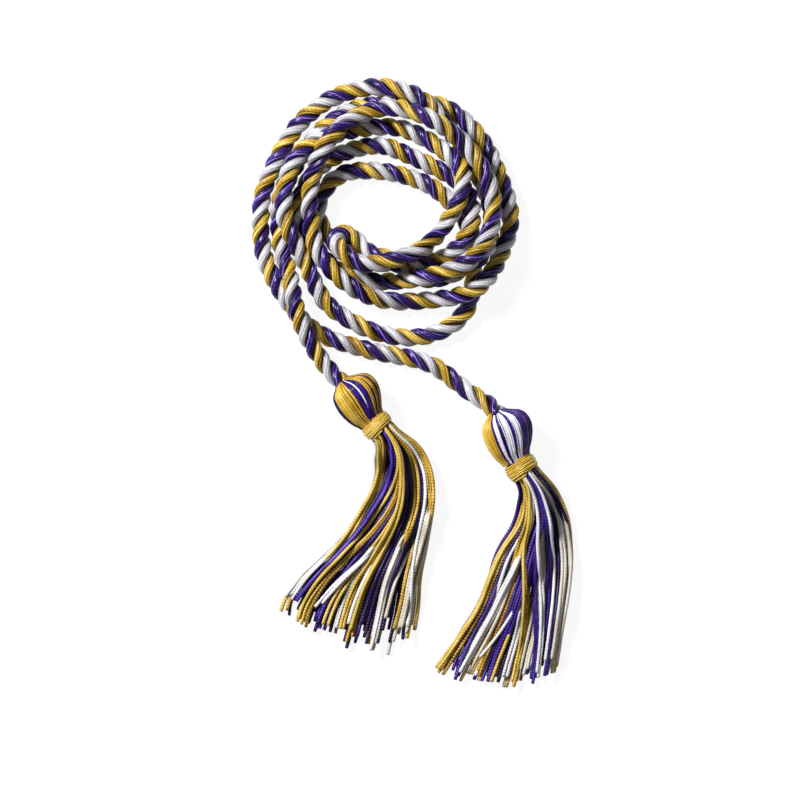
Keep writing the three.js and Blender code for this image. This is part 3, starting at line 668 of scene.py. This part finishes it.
def skirt(side, kit, rng):
    """Single strands that leave the neck in a round bundle and come to lie on the surface, one over another."""
    at, length = skirt_rows(kit)
    stations = np.linspace(0, 1.06, 54)
    row = at(stations)
    left, right, bow = row[:, 0:2], row[:, 2:4], row[:, 6]
    width = np.linalg.norm(right - left, axis=1)
    across = (right - left) / width[:, None]
    forward = np.stack([across[:, 1], -across[:, 0]], 1)
    axis, neck_across, neck_up = axes_of(kit["head_end"], kit["neck_end"])

    strands = []
    for shade, count, shares, level, cut in LOCKS[side]:
        colour, tone = SHADES[shade]
        for k in range(count):
            strands.append(dict(colour=colour, tone=tone + rng.uniform(-0.08, 0.08), shares=np.array(shares), seat=k - (count - 1) / 2,
                                level=level, stir=rng.uniform(-0.012, 0.012), cut=cut + rng.uniform(-0.045, 0.020)))
    under = UNDER_STRANDS[side]
    for k in range(under):
        f = 0.03 + 0.94 * (k + rng.uniform(0.2, 0.8)) / under
        strands.append(dict(colour=rng.choice(["purple", "gold", "white"], p=[0.6, 0.25, 0.15]), tone=rng.uniform(0.1, 0.6), shares=np.clip(f + rng.uniform(-0.05, 0.05, 6), 0.02, 0.98),
                            seat=0.0, level=rng.uniform(0.0, 0.42), stir=0.0, cut=rng.uniform(0.86, 0.99)))

    n, m = len(strands), len(stations)
    ease = np.clip(stations / 0.20, 0, 1)
    ease = ease * ease * (3 - 2 * ease)
    radius = NECK_STRAND_RADIUS + (STRAND_RADIUS - NECK_STRAND_RADIUS) * ease
    marks = np.linspace(0, 1, 6)
    fine = np.linspace(-0.2, 1.2, 141)
    x, level = np.zeros((n, m)), np.zeros((n, m))
    for i, s in enumerate(strands):
        before, after, where = s["level"] if isinstance(s["level"], tuple) else (s["level"], s["level"], 0.5)
        change = np.clip((stations - where - 0.025 * s["seat"]) / 0.10 + 0.5, 0, 1)
        level[i] = before + (after - before) * change * change * (3 - 2 * change) + s["stir"]
        f = np.interp(fine, marks, s["shares"])
        f = np.convolve(np.r_[[f[0]] * 9, f, [f[-1]] * 9], np.hanning(21)[1:-1] / np.hanning(21).sum(), "valid")
        f = np.interp(stations, fine, f)
        wander = smooth_noise(rng, m, length, 30.0) * 0.5 * ease + smooth_noise(rng, m, length, 12.0) * 0.16 * ease
        x[i] = (f - 0.5) * width + s["seat"] * STRAND_RADIUS * 1.90 * (0.50 + 0.50 * width / width.max()) + wander
        limit = (width / 2 - radius * 0.4) * 1.05
        soft = 1.6 * radius
        over = np.abs(x[i]) - (limit - soft)
        x[i] = np.where(over > 0, np.sign(x[i]) * (limit - soft + soft * np.tanh(np.maximum(over, 0) / soft)), x[i])
    # heights: each strand is laid on those that lie lower
    z = np.zeros((n, m))
    for j in range(m):
        r = radius[j]
        order = np.argsort(level[:, j], kind="stable")
        for k, i in enumerate(order):
            height, below = r, order[:k]
            gap = np.abs(x[below, j] - x[i, j])
            near = gap < 1.92 * r
            if near.any():
                height = max(height, (z[below, j][near] + 0.80 * np.sqrt(4 * r * r - gap[near] ** 2)).max())
            z[i, j] = height
        z[:, j] = r + (z[:, j] - r) * min(1.0, (row[j, 4] - 2 * r) / max(z[:, j].max() - r, 1e-6))
    # the neck: a round bundle, in the same order
    disc = kit["neck_radius"] - 1.0
    lateral = np.clip(x[:, 0] / (width[0] / 2), -0.97, 0.97)
    top = np.array([z[np.abs(x[:, 0] - x[i, 0]) < 1.5, 0].max() for i in range(n)])
    neck_x = lateral * disc
    neck_z = 8.7 + np.sqrt(1 - lateral ** 2) * disc * (2 * z[:, 0] / top - 1)
    kernel = np.hanning(9)[1:-1] / np.hanning(9).sum()
    z = np.stack([np.convolve(np.r_[[a[0]] * 3, a, [a[-1]] * 3], kernel, "valid") for a in z])
    spread = np.clip(stations / 0.13, 0, 1)
    spread = spread * spread * (3 - 2 * spread)
    x = neck_x[:, None] * (1 - spread) + x * spread
    z = neck_z[:, None] * (1 - ease) + z * ease

    parts = {c: Tubes() for c in COLOURS}
    middle = (left + right) / 2
    for i, s in enumerate(strands):
        f = x[i] / width + 0.5
        plan = middle + across * x[i][:, None] + forward * (bow * 4 * f * (1 - f))[:, None]
        path = np.concatenate([plan, z[i][:, None]], 1)
        inside = path[0] - axis * np.array([4.4, 3.0, 1.5])[:, None] * np.array([1, 1, 0.6])
        pull = np.array([0.80, 0.88, 0.95])[:, None]
        core = np.array([*middle[0], 8.7]) - axis * np.array([4.4, 3.0, 1.5])[:, None]
        inside = core + (inside - core) * pull
        keep = stations <= s["cut"]
        path = np.concatenate([inside, path[keep]])
        path = resample(path, SKIRT_STEP)
        for _ in range(2):
            path[1:-1] = path[1:-1] * 0.5 + (path[:-2] + path[2:]) * 0.25
        t = np.clip(distance(path) / (0.2 * length), 0, 1)
        thick = (NECK_STRAND_RADIUS + (STRAND_RADIUS - NECK_STRAND_RADIUS) * t * t * (3 - 2 * t)) * rng.uniform(0.88, 1.08)
        path[:, 2] = np.maximum(path[:, 2], thick + FLOOR_GAP)
        # painted shade: strands lying low under the others are darkened, and every strand gets painted shade on its
        # sides
        strand(parts[s["colour"]], path, thick, 8, tone=s["tone"], spin=rng.uniform(0, 6),
               painted_shade=0.55 * np.clip(1 - level[i, 0] / 0.45, 0, 1) ** 0.5, shade=0.92)
    for colour, tubes in parts.items():
        piece = tubes.object(f"tassel_skirt_{side}_{colour}", STRAND_RAYON[colour], SLOTS[colour])
        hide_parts(f"tassel_skirt_{side}")


for side, kit in TASSELS.items():
    rng = np.random.default_rng(31 if side == "left" else 47)
    parts = {c: Tubes() for c in COLOURS}
    head(kit, side, parts, rng)
    for colour, tubes in parts.items():
        piece = tubes.object(f"tassel_head_{side}_{colour}", THREAD_RAYON[colour], SLOTS[colour])
        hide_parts(f"tassel_head_{side}")
    wound = Tubes()
    binding(kit, wound, rng)
    piece = wound.object(f"neck_binding_{side}_threads", THREAD_RAYON["gold"], SLOTS["gold"])
    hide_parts(f"neck_binding_{side}")

    skirt(side, kit, rng)


# ---- floor and light ----
def plain(name, colour, glow):
    material = bpy.data.materials.new(name)
    material.use_nodes = True
    shader = material.node_tree.nodes["Principled BSDF"]
    shader.inputs["Base Color"].default_value = (*colour, 1)
    shader.inputs["Roughness"].default_value = 0.9
    shader.inputs["Specular IOR Level"].default_value = 0.1
    shader.inputs["Emission Color"].default_value = (1, 1, 1, 1)
    shader.inputs["Emission Strength"].default_value = glow
    return material


floor_mesh = bpy.data.meshes.new("floor")
floor_mesh.from_pydata([(-6, -6, 0), (6, -6, 0), (6, 6, 0), (-6, 6, 0)], [], [(0, 1, 2, 3)])
floor_mesh.materials.append(plain("floor_white", (0.12, 0.12, 0.12), 0.91))
floor = bpy.data.objects.new("floor", floor_mesh)
bpy.context.scene.collection.objects.link(floor)


def softbox(name, place, size, power, aim=(0, 0, 0)):
    lamp = bpy.data.lights.new(name, "AREA")
    lamp.shape, lamp.size, lamp.energy = "SQUARE", size, power
    obj = bpy.data.objects.new(name, lamp)
    obj.location = place
    obj.rotation_mode = "QUATERNION"
    obj.rotation_quaternion = (mathutils.Vector(aim) - mathutils.Vector(place)).to_track_quat("-Z", "Y")
    bpy.context.scene.collection.objects.link(obj)


softbox("key", (-0.78, 0.64, 0.92), 0.30, 32.5)
softbox("fill", (0.9, -0.6, 1.1), 1.0, 0.8)
softbox("top", (0.0, 0.1, 1.8), 0.9, 3.2)
world = bpy.data.worlds.new("studio")
world.use_nodes = True
world.node_tree.nodes["Background"].inputs["Color"].default_value = (1, 1, 1, 1)
world.node_tree.nodes["Background"].inputs["Strength"].default_value = 0.08
bpy.context.scene.world = world
bpy.context.scene.view_settings.view_transform = "Standard"
